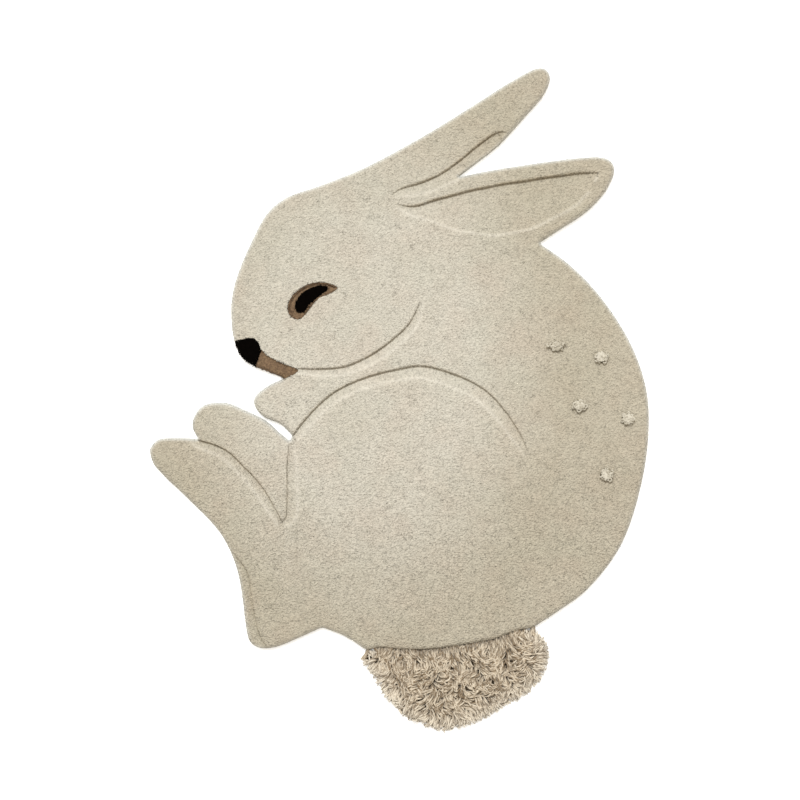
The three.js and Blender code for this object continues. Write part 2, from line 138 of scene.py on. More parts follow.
class PileSettings(bpy.types.PropertyGroup):
    """The short cut pile."""

    ground_pitch: length_setting("Ground pitch", 1.8, "Spacing of the ground's points at a crease")
    crease_reach: length_setting("Crease reach", 8, "How far from a crease the points stay close")
    swell: length_setting("Swell", 0.35, "Height of the soft unevenness of the shorn surface")
    swell_length: length_setting("Swell length", 14, "Size of one patch of that unevenness")
    lump_length: length_setting("Lump length", 6.5, "Size of one lump under a knot's curls")
    grain: length_setting("Grain", 0.12, "Unevenness from tuft to tuft")
    field_pitch: length_setting("Field pitch", 1.1, "Spacing of the points in a dark field")
    tuft: length_setting("Tuft", 0.3, "Unevenness of the yarn ends from clump to clump")
    tuft_length: length_setting("Tuft length", 4.6, "Size of one clump of yarn ends")
    splay: length_setting("Splay", 0.5, "How far the pile stands up where a lip splays it")
    # The lip's pale is a painted highlight; the splay that it reaches is the pile's real shape
    lip_width: length_setting("Lip width", 3.0, "Reach of a channel's pale lip to either side")
    # The fold's dark is painted shade
    fold_width: length_setting("Fold width", 2.4, "Reach of the dark fold to either side")
    # The paler yarn ends at the rim are a painted highlight
    rim_width: length_setting("Rim width", 3.6, "Reach of the paler yarn ends at the rug's rim")
    stray: length_setting("Stray", 1.3, "How far a yarn strays over the edge of a dark field")
    tooth: length_setting("Tooth", 1.0, "How far tufts of a dark field stand out over its edge")
    stray_reach: length_setting("Stray reach", 2.2, "How far from such an edge yarns stray")
    end_pitch: length_setting("Yarn pitch", 2.45, "Spacing of the yarn ends")
    end_radius: length_setting("Yarn radius", 1.45, "Radius of one yarn end at its foot")
    end_rise: length_setting("Yarn rise", 0.4, "How far a yarn end stands above the ground")
    end_lean: length_setting("Yarn lean", 0.6, "How far a yarn end leans over")
    flow_length: length_setting("Flow length", 11, "Size of a patch that leans the same way")


class ShagSettings(bpy.types.PropertyGroup):
    """The long shag of the tail."""

    lock_pitch: length_setting("Lock pitch", 7.4, "Spacing of the locks")
    strands: IntProperty(name="Strands", description="Yarns in one lock", default=7, min=1)
    steps: IntProperty(name="Steps", description="Points along one yarn", default=7, min=3)
    length: length_setting("Length", 33, "Length of one yarn")
    rim_reach: length_setting("Rim reach", 4, "How far a yarn may stand out past the tail's edge")
    thickness: length_setting("Thickness", 2.7, "Thickness of one yarn")
    rise: length_setting("Rise", 8, "How far a lock arches above its root")
    fan: length_setting("Fan", 45, "How far beyond the seam the locks fan out from")
    swirl: angle_setting("Swirl", 3.2, "How far the locks turn off the fan")
    curl: angle_setting("Curl", 0.8, "How far a lock turns from its root to its tip")


class KnotSettings(bpy.types.PropertyGroup):
    """The knots of looped yarn on the back."""

    curls: IntProperty(name="Curls", description="Curls of yarn in one knot", default=26, min=3)
    thickness: length_setting("Thickness", 2.9, "Thickness of the yarn")
    curl_radius: length_setting("Curl radius", 2.4, "Radius of one curl")


class ColourSettings(bpy.types.PropertyGroup):
    """The yarns' colours, and those of the light and shade painted on them."""

    oatmeal: colour_setting("Oatmeal", "#d4d0c3", "The pale wool")
    rose: colour_setting("Rose beige", "#d0c5b6", "Warmer patches of the pale wool")
    lichen: colour_setting("Lichen", "#cbcabb", "Greener patches of the pale wool")
    # Painted shade: the edge tint darkens the pale wool towards the rug's outer parts
    edge: colour_setting("Edge tint", "#ebe7df", "Tints the pale wool that lies outwards")
    # Painted highlight: the pale band where a channel's lip slopes up towards the light
    lip: colour_setting("Lip", "#f3efe4", "The pale wool where a channel's lip splays it")
    # Painted shade: the fold tint darkens the pale wool deep in a channel
    fold: colour_setting("Fold", "#dcd3c5", "Tints the pale wool deep in a channel")
    # Painted highlight at the rug's rim, most where it faces the light, and on the tail's rim tips
    rim: colour_setting("Rim", "#e0e3e0", "The yarn ends at the rug's rim, which let light through")
    black: colour_setting("Black", "#060403", "The nose and the pupil")
    brown: colour_setting("Brown", "#7e6852", "The muzzle and the eye's surround")
    cream: colour_setting("Cream", "#fff3dd", "The lighter shag yarns")
    beige: colour_setting("Beige", "#907a5d", "The darker shag yarns")
    # Painted shade: the shag's ground and yarn roots take this colour for the shade between locks
    deep: colour_setting("Deep", "#5f503c", "The shag's ground, between the locks")
    knot_pale: colour_setting("Knot, pale", "#d8d3c4", "The knots' lighter yarns")
    knot_dark: colour_setting("Knot, dark", "#b4ad9b", "The knots' darker yarns")
    jute: colour_setting("Jute", "#b7a079", "The woven backing")


class StageSettings(bpy.types.PropertyGroup):
    """Floor, light and camera."""

    camera_height: length_setting("Camera height", 4000, "Height of the camera over the floor")
    view_width: length_setting("View width", 1326.4, "What the picture spans at the pile")
    view_x: length_setting("View X", 0.9, "Middle of the picture")
    view_y: FloatProperty(
        name="View Y", description="Middle of the picture", default=-0.2 * MM, unit="LENGTH",
    )
    floor: colour_setting("Floor", "#fbfbfa", "The pale floor")
    sky: colour_setting("Sky", "#fff6ea", "The light from all round")
    key: FloatProperty(name="Key", description="Strength of the main light", default=2.28)
    key_height: angle_setting("Key height", math.radians(60), "Its height over the floor")
    key_turn: angle_setting("Key turn", math.radians(12), "How far left of +Y it stands")
    key_softness: angle_setting("Key softness", math.radians(13), "How wide it looks")
    fill: FloatProperty(
        name="Fill", description="Strength of the light from all round", default=0.57,
    )


class RugSettings(bpy.types.PropertyGroup):
    """Every size and colour of the rug."""

    pile: PointerProperty(type=PileSettings)
    shag: PointerProperty(type=ShagSettings)
    knot: PointerProperty(type=KnotSettings)
    colour: PointerProperty(type=ColourSettings)
    stage: PointerProperty(type=StageSettings)


# Reading the solids


def solid_of(node):
    """A solid's faces with the points joined that its flat shading keeps apart."""
    shape = bmesh.new()
    shape.from_mesh(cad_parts[node].data)
    bmesh.ops.remove_doubles(shape, verts=shape.verts, dist=WELD)
    return shape


def level_faces(shape, upward, height):
    """The level faces of a solid that look up or down at about a height above its lowest point."""
    low = min(vert.co.z for vert in shape.verts)
    return [
        face for face in shape.faces
        if (face.normal.z if upward else -face.normal.z) > LEVEL
        and abs(face.calc_center_median().z - low - height) < LEVEL_BAND
    ]


def rings_round(faces):
    """The closed rings of (x, y) round some faces, in the order of the faces' own corners.

    The faces come in the solid's own order, so that each ring starts at the same point each run."""
    chosen = set(faces)
    ahead = {}
    for face in faces:
        for loop in face.loops:
            if not any(other is not face and other in chosen for other in loop.edge.link_faces):
                ahead[loop.vert] = loop.link_loop_next.vert
    rings = []
    while ahead:
        start, here = ahead.popitem()
        ring = [start]
        while here is not start:
            ring.append(here)
            here = ahead.pop(here)
        rings.append(np.array([vert.co.xy for vert in ring]))
    return sorted(rings, key=len, reverse=True)


def evenly(ring, pitch):
    """A closed ring with its points at an equal pitch."""
    closed = np.vstack([ring, ring[:1]])
    along = np.concatenate([[0], np.cumsum(np.hypot(*np.diff(closed, axis=0).T))])
    count = max(6, round(along[-1] / pitch))
    at = np.arange(count) * along[-1] / count
    return np.stack([np.interp(at, along, closed[:, axis]) for axis in (0, 1)], 1)


def outward(ring):
    """Unit vectors to the right of a ring's course, which is out of the cloth."""
    along = np.roll(ring, -1, axis=0) - np.roll(ring, 1, axis=0)
    along /= np.maximum(np.hypot(*along.T), 1e-9)[:, None]
    return np.stack([along[:, 1], -along[:, 0]], 1)


def outlines(shape, pitch):
    """The rings round a solid's level underside, each with its points at an equal pitch."""
    return [evenly(ring[::-1], pitch) for ring in rings_round(level_faces(shape, False, 0))]


def outline_of(node, pitch):
    """The outer ring round a solid's underside, with its points at an equal pitch."""
    shape = solid_of(node)
    rings = outlines(shape, pitch)
    shape.free()
    return rings[0]


def creases_of(shape, pitch):
    """Points along the sharp edges of a solid's upper surface, where the shears have cut.

    Beside them come those on a channel's far lip and those at the foot of its steep side."""
    low = min(vert.co.z for vert in shape.verts)
    points, kinds = [], []
    for edge in shape.edges:
        first, last = (vert.co for vert in edge.verts)
        is_low = min(first.z, last.z) < low + BACKING + WELD
        is_steep = abs(first.z - last.z) > CLIMB * (first - last).length
        if is_low or is_steep or not edge.is_manifold or edge.calc_face_angle() < SHARP:
            continue
        is_lip = edge.calc_face_angle() < STEEP and min(first.z, last.z) > low + PILE - LIP_BAND
        is_foot = edge.calc_face_angle_signed() < -STEEP
        steps = max(1, round((first - last).length / pitch))
        points += [tuple(first.lerp(last, step / steps)) for step in range(steps)]
        kinds += [(is_lip, is_foot)] * steps
    found = np.array(points).reshape(-1, 3)
    kinds = np.array(kinds, bool).reshape(-1, 2)
    spots = np.unique(np.round(found[:, :2] / CREASE_GAP), axis=0, return_index=True)[1]
    return found[np.sort(spots)], found[kinds[:, 0]], found[kinds[:, 1]]


def around(count, reach):
    """Steps of one length in evenly turned directions."""
    angle = 2 * math.pi * np.arange(count) / count
    return reach * np.column_stack([np.cos(angle), np.sin(angle)])


class Solid:
    """What the pieces take from one solid: its rings, creases, corners and surface."""

    def __init__(self, node, pitch, parting=None):
        shape = solid_of(node)
        self.parting = parting
        self.tree = BVHTree.FromBMesh(shape)
        self.rings = outlines(shape, pitch)
        floors = rings_round(level_faces(shape, True, BACKING))
        self.floors = [evenly(ring, pitch) for ring in floors]
        self.creases, self.lips, self.feet = creases_of(shape, pitch)
        beside = [self.dropped(self.lips[:, :2] + step)[0] for step in around(4, LIP_STEP)]
        lip = self.lips[:, 2]
        self.lip_drop = np.clip((lip - np.nanmin([lip, *beside], axis=0)) / LIP_DROP, 0, 1)
        top = max(vert.co.z for vert in shape.verts)
        self.foot_drop = np.clip((top - self.feet[:, 2]) / FOLD_DEPTH, 0, 1) ** 1.5
        self.low, self.high = (np.array(corner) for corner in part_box(node))
        shape.free()

    def dropped(self, points):
        """Height and normal where the solid is met from straight above each point, or NaN.

        A parting is a line cut into the pile at an inset from the rim, of a width to either side
        and a depth, where the rim faces one way."""
        heights = np.full(len(points), np.nan)
        normals = np.tile((0.0, 0.0, 1.0), (len(points), 1))
        down = Vector((0, 0, -1))
        for number, (x, y) in enumerate(points):
            place, normal, _, _ = self.tree.ray_cast(Vector((x, y, ABOVE)), down)
            if place is not None:
                heights[number] = place.z
                normals[number] = normal
        if self.parting:
            inset, width, depth, way = self.parting
            ring = max(self.rings, key=len)
            apart, place = nearest(points, ring)
            faced = np.clip(outward(ring)[place] @ np.array(way) * 3 + 0.9, 0, 1)
            heights -= depth * faced * np.clip(1 - np.abs(apart - inset) / width, 0, 1)
        return heights, normals


def close_to(points, places, weights, reach):
    """From a place's weight, at that place, down to 0 well away from them all."""
    if not len(places):
        return np.zeros(len(points))
    apart, place = nearest(points[:, :2], places[:, :2])
    return weights[place] * np.exp(-((apart / reach) ** 2))


def scatter(low, high, pitch, random):
    """An uneven scatter of points over a box, with each point's row and column."""
    rows = np.arange(math.ceil((high[1] - low[1]) / (pitch * HEX_ROW)) + 1)
    columns = np.arange(math.ceil((high[0] - low[0]) / pitch) + 1)
    column, row = (index.ravel() for index in np.meshgrid(columns, rows))
    x = low[0] + (column + 0.5 * (row % 2)) * pitch
    y = low[1] + row * pitch * HEX_ROW
    points = np.stack([x, y], 1) + random.uniform(-SHAKE, SHAKE, (len(x), 2)) * pitch
    return points, row, column


def nearest(points, places):
    """Each point's distance from the nearest of the places, and that place's number."""
    tree = kdtree.KDTree(len(places))
    for number, (x, y) in enumerate(places):
        tree.insert((x, y, 0), number)
    tree.balance()
    found = [tree.find((x, y, 0))[1:] for x, y in points]
    apart = np.array([apart for _, apart in found])
    return apart, np.array([number for number, _ in found], int)


def waves(points, length, seed=0.0):
    """Smooth noise from about -1 to 1 over points, with patches of that length."""
    return np.array([noise.noise((x / length, y / length, seed)) for x, y in points])


# Making pieces


def piece_of(name, points, triangles, material, body_slot, *nodes, shades=None):
    """A mesh piece that rides on the rug and stands for the named solids.

    The shades are named numbers for its points, which its material reads."""
    used, place = np.unique(triangles, return_inverse=True)
    points, triangles = points[used], place.reshape(-1, 3)
    mesh = bpy.data.meshes.new(name)
    mesh.vertices.add(len(points))
    mesh.vertices.foreach_set("co", np.asarray(points, np.float32).ravel())
    mesh.loops.add(3 * len(triangles))
    mesh.loops.foreach_set("vertex_index", np.asarray(triangles, np.int32).ravel())
    mesh.polygons.add(len(triangles))
    mesh.polygons.foreach_set("loop_start", np.arange(len(triangles), dtype=np.int32) * 3)
    mesh.update(calc_edges=True)
    mesh.validate()
    piece = bpy.data.objects.new(name, mesh)
    bpy.context.scene.collection.objects.link(piece)
    mesh.materials.append(material)
    for shade, values in (shades or {}).items():
        layer = mesh.attributes.new(shade, "FLOAT", "POINT")
        layer.data.foreach_set("value", np.asarray(values, np.float32)[used])
    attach(piece, "root")
    if nodes:
        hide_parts(*nodes)
    return piece


def painted_light_masks(points, solid, rim, rim_light, sizes):
    """Painted light by nearness: highlight near a lip and at the rug's rim, shade in a fold."""
    # Painted shade in the folds: by how deep each is cut, weaker in patches, half below the ears
    fold = close_to(points, solid.feet, solid.foot_drop, sizes.fold_width)
    fold *= 1 + 0.7 * np.minimum(waves(points[:, :2], sizes.tuft_length * 2, FOLD_SEED), 0)
    fold *= np.where(points[:, 1] > EARS, 1, 0.5)
    # Painted highlight near a channel's lip
    lip = close_to(points, solid.lips, solid.lip_drop, sizes.lip_width)
    # Painted highlight at the rug's rim, weighted by how far the rim faces the light
    rim_highlight = close_to(points, rim, rim_light, sizes.rim_width)
    return {"lip": lip, "fold": fold, "rim": rim_highlight}


def joined(*parts):
    """Several (points, triangles) as one."""
    points, triangles, count = [], [], 0
    for part_points, part_triangles in parts:
        points.append(part_points)
        triangles.append(np.asarray(part_triangles) + count)
        count += len(part_points)
    return np.vstack(points), np.vstack(triangles)


def triangulated(points, rings):
    """Anticlockwise triangles over the points inside the first ring and outside the others.

    The rings are the first points, one ring after another."""
    ends = np.cumsum([len(ring) for ring in rings])
    loops = [list(range(end - len(ring), end)) for ring, end in zip(rings, ends)]
    loops[1:] = [loop[::-1] for loop in loops[1:]]
    corners = [Vector(point) for point in points]
    found = geometry.delaunay_2d_cdt(corners, [], loops, 1, 1e-7, True)
    faces, origins, homes = found[2], found[3], found[5]
    is_cloth = [0 in home and len(home) == 1 for home in homes]
    kept = [face for face, inside in zip(faces, is_cloth) if inside]
    return np.array([[min(origins[corner]) for corner in face] for face in kept])


def smoothed(ring, times, is_fixed):
    """A closed ring with its small ins and outs taken away, but for its fixed points."""
    for _ in range(times):
        soft = (np.roll(ring, 1, axis=0) + 2 * ring + np.roll(ring, -1, axis=0)) / 4
        ring = np.where(is_fixed[:, None], ring, soft)
    return ring


def pile_ground(solid, sizes, pitch, random, height_share=1.0, lumps=0.0):
    """The shorn surface of a field of pile, down its rim to a level underside."""
    low, floor = solid.low, solid.low[2]
    ring = np.vstack(solid.rings)
    out = np.vstack([outward(course) for course in solid.rings])
    ring_height = solid.dropped(ring - out * RIM_INSET)[0]
    ring_height = np.where(np.isnan(ring_height), floor + RIM_PILE, ring_height)
    foot = np.empty((0, 2))
    if solid.floors:
        foot = np.vstack([course - outward(course) * FLOOR_INSET for course in solid.floors])
        foot = foot[nearest(foot, ring)[0] > RING_GAP]
    creases = solid.creases
    if len(creases):
        creases = creases[nearest(creases[:, :2], ring)[0] > RING_GAP]
    points, row, column = scatter(low, solid.high, pitch, random)
    heights = solid.dropped(points)[0]
    inside = ~np.isnan(heights)
    points, heights, row, column = (x[inside] for x in (points, heights, row, column))
    apart = nearest(points, np.vstack([ring, foot, creases[:, :2]]))[0]
    is_coarse = (row % 2 == 0) & (column % 2 == 0)
    kept = (apart > CLEAR * pitch) & ((apart < sizes.crease_reach) | is_coarse)
    flat = np.vstack([ring, foot, creases[:, :2], points[kept]])
    backing = np.full(len(foot), floor + BACKING)
    height = np.concatenate([ring_height, backing, creases[:, 2], heights[kept]])
    lift = sizes.swell * waves(flat, sizes.swell_length)
    lift += random.normal(0, 1, len(flat)) * sizes.grain
    lift += lumps * waves(flat, sizes.lump_length, LUMP_SEED)
    lift += sizes.splay * close_to(flat, solid.lips, solid.lip_drop, sizes.lip_width)
    lift *= np.clip((height - floor - BACKING) / RIM_PILE, 0, 1)
    height = floor + (height + lift - floor) * height_share
    waist = np.column_stack([ring, floor + WAIST * (height[: len(ring)] - floor)])
    bottom = np.column_stack([ring, np.full(len(ring), floor)])
    triangles = [triangulated(flat, solid.rings)]
    levels = (0, len(flat), len(flat) + len(ring))  # where the rim's points start at each height
    start = 0
    for count in map(len, solid.rings):
        here = start + np.arange(count)
        ahead = start + np.roll(np.arange(count), -1)
        for upper, lower in zip(levels, levels[1:]):
            triangles.append(np.column_stack([here + upper, here + lower, ahead + lower]))
            triangles.append(np.column_stack([here + upper, ahead + lower, ahead + upper]))
        start += count
    triangles.append(triangulated(ring, solid.rings)[:, ::-1] + levels[2])
    points = np.vstack([np.column_stack([flat, height]), waist, bottom])
    return points, np.vstack(triangles)


def unit(vectors):
    """The vectors at a length of 1."""
    return vectors / np.maximum(np.linalg.norm(vectors, axis=-1, keepdims=True), 1e-9)


def yarn_feet(solid, sizes, random, pitch, with_rim):
    """Where the yarn ends of a field of pile stand, and the way that each stands."""
    floor = solid.low[2]
    points, _, _ = scatter(solid.low, solid.high, pitch, random)
    heights, normals = solid.dropped(points)
    inside = ~np.isnan(heights) & (np.nan_to_num(heights) > floor + BACKING + MM)
    feet = np.column_stack([points, heights])[inside]
    normals = normals[inside]
    if with_rim:
        ring = evenly(solid.rings[0], pitch)
        out = outward(ring)
        for share in (0.2, 0.6, 1.0):
            level = np.full(len(ring), floor + share * RIM_PILE)
            feet = np.vstack([feet, np.column_stack([ring - out * 0.3 * MM, level])])
            normals = np.vstack([normals, np.column_stack([out, np.zeros(len(out))])])
    else:
        rings = [evenly(course, pitch) for course in solid.rings]
        ring = np.vstack(rings)
        up = solid.dropped(ring * 0.995 + ring.mean(axis=0) * 0.005)[0]
        up = np.where(np.isnan(up), solid.high[2] - 1.5 * MM, up)
        ragged = np.clip(2.2 * waves(ring, sizes.tuft_length, TOOTH_SEED), -0.4, 1)
        tooth = sizes.tooth * ragged[:, None]
        teeth = ring + tooth * np.vstack([outward(course) for course in rings])
        feet = np.vstack([feet, np.column_stack([teeth, up + np.maximum(tooth[:, 0], 0) * 0.5])])
        normals = np.vstack([normals, np.tile((0.0, 0.0, 1.0), (len(ring), 1))])
    is_top = normals[:, 2] > 0.5
    feet[:, 2] += sizes.tuft * waves(feet[:, :2], sizes.tuft_length, TUFT_SEED) * is_top
    feet[:, 2] += sizes.splay * close_to(feet, solid.lips, solid.lip_drop, sizes.lip_width)
    return feet, unit(normals * (1 - UPRIGHT) + np.array((0, 0, UPRIGHT)))


def yarn_ends(solid, sizes, random, with_rim):
    """Cut yarn ends over a field of pile and down its rim, each a small closed cone."""
    pitch = sizes.end_pitch if with_rim else sizes.field_pitch * 1.8
    feet, normals = yarn_feet(solid, sizes, random, pitch, with_rim)
    count = len(feet)
    level = np.zeros(count)
    flow = np.column_stack([
        *(waves(feet[:, :2], sizes.flow_length, seed) for seed in LEAN_SEEDS), level,
    ])
    lean = sizes.end_lean * (np.column_stack([random.normal(0, 0.6, (count, 2)), level]) + flow)
    rise = sizes.end_rise * random.uniform(0.3, 1.4, count)[:, None]
    apart = nearest(feet[:, :2], np.vstack(solid.floors or solid.rings))[0]
    strays = (apart < sizes.stray_reach)[:, None] * random.uniform(0, 1, (count, 1)) ** 0.7
    strays = strays * sizes.stray
    lean += strays * np.column_stack([random.normal(0, 1, (count, 2)), level])
    rise += strays * (0.2 if with_rim else 0.9)
    tips = feet + normals * rise + lean
    side = unit(np.cross(normals, (0.3, 0.9, 0.1)))
    other = np.cross(normals, side)
    turn = random.uniform(0, 2 * math.pi, count)
    radius = sizes.end_radius * random.uniform(0.7, 1.25, count)[:, None]
    sunk = feet - normals * SUNK
    corners = []
    for corner in range(3):
        angle = (turn + corner * 2 * math.pi / 3)[:, None]
        corners.append(sunk + radius * (np.cos(angle) * side + np.sin(angle) * other))
    cones = np.stack([*corners, tips], 1)
    cones[:, :, 2] = np.maximum(cones[:, :, 2], solid.low[2] + 0.2 * MM)
    order = np.array([(0, 2, 1), (0, 1, 3), (1, 2, 3), (2, 0, 3)])
    triangles = (np.arange(count) * 4)[:, None, None] + order
    return cones.reshape(-1, 3), triangles.reshape(-1, 3), feet


def yarns(paths, radii, sides):
    """Closed yarns along paths, an array of yarns by steps by (x, y, z), with a radius a step."""
    count, steps, _ = paths.shape
    along = unit(np.gradient(paths, axis=1))
    side = unit(np.cross(along, (0.21, 0.13, 0.97)))
    other = np.cross(along, side)
    rounds = []
    for corner in range(sides):
        angle = corner * 2 * math.pi / sides
        spoke = math.cos(angle) * side + math.sin(angle) * other
        rounds.append(paths + radii[:, :, None] * spoke)
    points = np.stack(rounds, 2)
    faces = []
    for step in range(steps - 1):
        for corner in range(sides):
            a, b = step * sides + corner, step * sides + (corner + 1) % sides
            faces += [(a, b, b + sides), (a, b + sides, a + sides)]
    last = (steps - 1) * sides
    for corner in range(1, sides - 1):
        faces += [(0, corner + 1, corner), (last, last + corner, last + corner + 1)]
    triangles = (np.arange(count) * steps * sides)[:, None, None] + np.array(faces)
    return points.reshape(-1, 3), triangles.reshape(-1, 3)


def shag_roots(solid, is_seam, sizes, random):
    """Where the locks are rooted, each root's height, its depth inside the rim, the rim point
    nearest to it, and whether it lies near the seam and in the row along it."""
    ring = solid.rings[0]
    roots, _, _ = scatter(solid.low, solid.high, sizes.lock_pitch, random)
    seam = ring[is_seam] - outward(ring)[is_seam] * 0.5 * MM
    seam = seam[:: max(1, round(0.45 * sizes.lock_pitch / np.hypot(*(seam[1] - seam[0]))))]
    roots = np.vstack([roots, seam])
    on_seam = np.arange(len(roots)) >= len(roots) - len(seam)
    heights = solid.dropped(roots - [0, 2 * MM])[0]
    depth, rim = nearest(roots, ring)
    at_seam = is_seam[rim]
    kept = ~np.isnan(heights) & (depth > np.where(at_seam, 0, 1.8) * MM)
    kept &= on_seam | ~np.isnan(solid.dropped(roots)[0])
    return [x[kept] for x in (roots, heights, depth, rim, at_seam, on_seam)]


def shag_yarns(solid, is_seam, sizes, random):
    """Locks of long yarn: curling in the middle of the tail, and combed outwards round its rim."""
    ring = solid.rings[0]
    out = outward(ring)
    roots, heights, depth, rim, at_seam, on_seam = shag_roots(solid, is_seam, sizes, random)
    locks = len(roots)
    total = locks * sizes.strands

    def each(values):
        """A lock's values for each of its yarns."""
        return np.repeat(values, sizes.strands, axis=0)

    # The way that each yarn sets out
    near_rim = np.clip(1 - depth / COMBED, 0, 1) ** 0.8
    combed = np.where(at_seam[:, None], -out[rim], out[rim])
    centre = ring[is_seam].mean(axis=0) + (0, sizes.fan)
    fanned = (roots - centre) / np.hypot(*(roots - centre).T)[:, None]
    way = near_rim[:, None] * combed * 1.3 + (1 - near_rim)[:, None] * fanned
    swirl = sizes.swirl * waves(roots, 26 * MM, SWIRL_SEED) * (1 - 0.7 * near_rim)
    turn = np.arctan2(each(way[:, 1]), each(way[:, 0])) + each(swirl)
    turn += each(random.normal(0, 0.22, locks)) + random.normal(0, 0.13, total)

    # Where it starts, which is inside the tail
    apart = random.normal(0, 0.42, (total, 2)) * sizes.lock_pitch
    apart *= np.where(each(on_seam), 0.5, 1)[:, None]
    start = each(roots) + apart
    is_out = np.isnan(solid.dropped(start)[0]) & ~each(on_seam)
    start_depth, start_rim = nearest(start, ring)
    inside = 1.5 * MM
    start[is_out] -= out[start_rim[is_out]] * (start_depth[is_out] + inside)[:, None]
    start_depth[is_out] = inside

    # How far it reaches, which is less where it would stand out past the rim
    share = each(np.where(at_seam, 0, near_rim))
    lock_length = each(random.uniform(0.65, 1.1, locks))
    reach = sizes.length * (0.55 + 0.25 * share) * lock_length * random.uniform(0.8, 1.1, total)
    room = start_depth + sizes.rim_reach * random.uniform(0, 1, total) ** 1.5
    points_out = each(~at_seam) & (share > 0.35)
    reach = np.where(points_out, np.minimum(reach, np.maximum(room, 5 * MM)), reach)

    # Its course over the floor: it curls, it waves, and its lock closes towards the tip
    t = np.linspace(0, 1, sizes.steps)[None, :]
    curl = each(random.normal(0, sizes.curl, locks)) + random.normal(0, 0.2, total)
    bend = (curl * (1 - 0.75 * share))[:, None] * t
    wave = each(random.uniform(0.5, 1.2, locks))[:, None]
    phase = each(random.uniform(0, 2 * math.pi, locks)) + random.normal(0, 0.4, total)
    waving = 2 * math.pi * wave * t + phase[:, None]
    heading = turn[:, None] + bend + 0.2 * np.sin(waving)
    step = (reach / (sizes.steps - 1))[:, None, None]
    steps = np.stack([np.cos(heading), np.sin(heading)], 2) * step
    flat = start[:, None] + np.cumsum(steps, axis=1) - steps[:, :1]
    flat = flat - apart[:, None] * 0.5 * (t ** 1.2)[..., None]

    # Its height: an arch that falls from the ground's height towards the floor
    crest = sizes.rise * each(random.uniform(0.4, 1.3, locks))[:, None]
    crest = crest * random.uniform(0.7, 1.15, total)[:, None]
    ground = each(heights)[:, None] * 0.55
    arch = np.sin(math.pi * np.clip(t * 0.92 + 0.06, 0, 1)) ** 0.8
    bob = 0.8 * MM * np.cos(waving)
    fall = ground * (1 - (0.2 + 0.6 * share[:, None]) * t ** 1.6)
    fall = np.where(each(on_seam)[:, None], 9 * MM * (1 - 0.3 * t), fall)
    crest = np.where(each(on_seam)[:, None], crest * 0.5, crest)
    z = np.maximum(fall + crest * arch + bob, sizes.thickness * 0.5)
    paths = np.concatenate([flat, z[..., None]], 2)
    radii = 0.5 * sizes.thickness * random.uniform(0.75, 1.15, total)[:, None]
    radii = radii * np.clip(1.2 - 0.7 * t ** 3, 0, 1)
    # Painted shade towards the roots, less near the rim; painted highlight towards the tips near it
    shades = {"rim": share[:, None] * t, "root": (1 - 0.5 * share[:, None]) * (1 - t) ** 1.4}
    shades = {name: np.repeat(values.ravel(), SIDES) for name, values in shades.items()}
    return (*yarns(paths, radii, SIDES), shades)


def knot_yarns(solid, sizes, random):
    """Small curls of yarn that stand over each other on a knot, any way round."""
    centre = (solid.low + solid.high)[:2] / 2
    half = (solid.high - solid.low)[:2] / 2 - 0.5 * sizes.thickness
    total = sizes.curls
    spot = np.sqrt((np.arange(total) + 0.5) / total)
    angle = 2 * math.pi * np.arange(total) * GOLDEN + random.normal(0, 0.3, total)
    radius = sizes.curl_radius * random.uniform(0.75, 1.25, total)[:, None]
    middle = np.column_stack([np.cos(angle), np.sin(angle)]) * spot[:, None]
    middle = middle * (half - radius) * 0.9
    turn = random.uniform(0, 2 * math.pi, total)[:, None]
    along = turn + np.linspace(0, 1, 9)[None, :] * random.uniform(2.8, 5.0, total)[:, None]
    flat = middle[:, None] + radius[..., None] * np.stack([np.cos(along), np.sin(along)], 2)
    dome = np.sqrt(np.clip(1 - (0.7 * spot) ** 2, 0, 1))[:, None]
    top = solid.high[2] - sizes.thickness * 0.5 - PILE
    tilt = random.uniform(0.2, 0.9, total)[:, None] * radius
    z = PILE + top * dome - tilt * (1 - np.cos(along - random.uniform(0, 6, total)[:, None]))
    paths = np.concatenate([centre + flat, np.maximum(z, PILE + 0.2 * MM)[..., None]], 2)
    radii = 0.5 * sizes.thickness * random.uniform(0.8, 1.15, total)[:, None] * np.ones_like(z)
    return yarns(paths, radii, 5)


# Materials


def add(tree, kind, inputs=None, **settings):
    """Adds a shader node with its settings, and sets or links its inputs by name."""
    made = tree.nodes.new(kind)
    for name, value in settings.items():
        setattr(made, name, value)
    for name, value in (inputs or {}).items():
        if isinstance(value, bpy.types.NodeSocket):
            tree.links.new(value, made.inputs[name])
        else:
            made.inputs[name].default_value = value
    return made


def material_named(name):
    """A new material and its empty node tree."""
    material = bpy.data.materials.new(name)
    material.use_nodes = True
    tree = material.node_tree
    tree.nodes.clear()
    return material, tree


def mixed(tree, share, first, second, blend="MIX"):
    """Two colours mixed, or the first multiplied by the second, in that share."""
    made = add(tree, "ShaderNodeMix", {"Factor": share, 6: first, 7: second},
               data_type="RGBA", blend_type=blend)
    return made.outputs[2]


def sum_of(tree, operation, *values):
    """The result of one operation on numbers or outputs."""
    made = add(tree, "ShaderNodeMath", dict(enumerate(values)), operation=operation)
    return made.outputs[0]


def vector_of(tree, operation, *values, output="Vector"):
    """The result of one operation on vectors or outputs."""
    made = add(tree, "ShaderNodeVectorMath", dict(enumerate(values)), operation=operation)
    return made.outputs[output]


def ranged(tree, value, start, end, low=0.0, high=1.0):
    """From low to high while a value goes from start to end, and no further."""
    return add(tree, "ShaderNodeMapRange", {
        "Value": value, "From Min": start, "From Max": end, "To Min": low, "To Max": high,
    }).outputs["Result"]


def unevenness(tree, place, size, detail=1.0, **inputs):
    """Soft noise from 0 to 1, with spots of about that size."""
    return add(tree, "ShaderNodeTexNoise", {
        "Vector": place, "Scale": 1 / size, "Detail": detail, **inputs,
    }).outputs["Fac"]


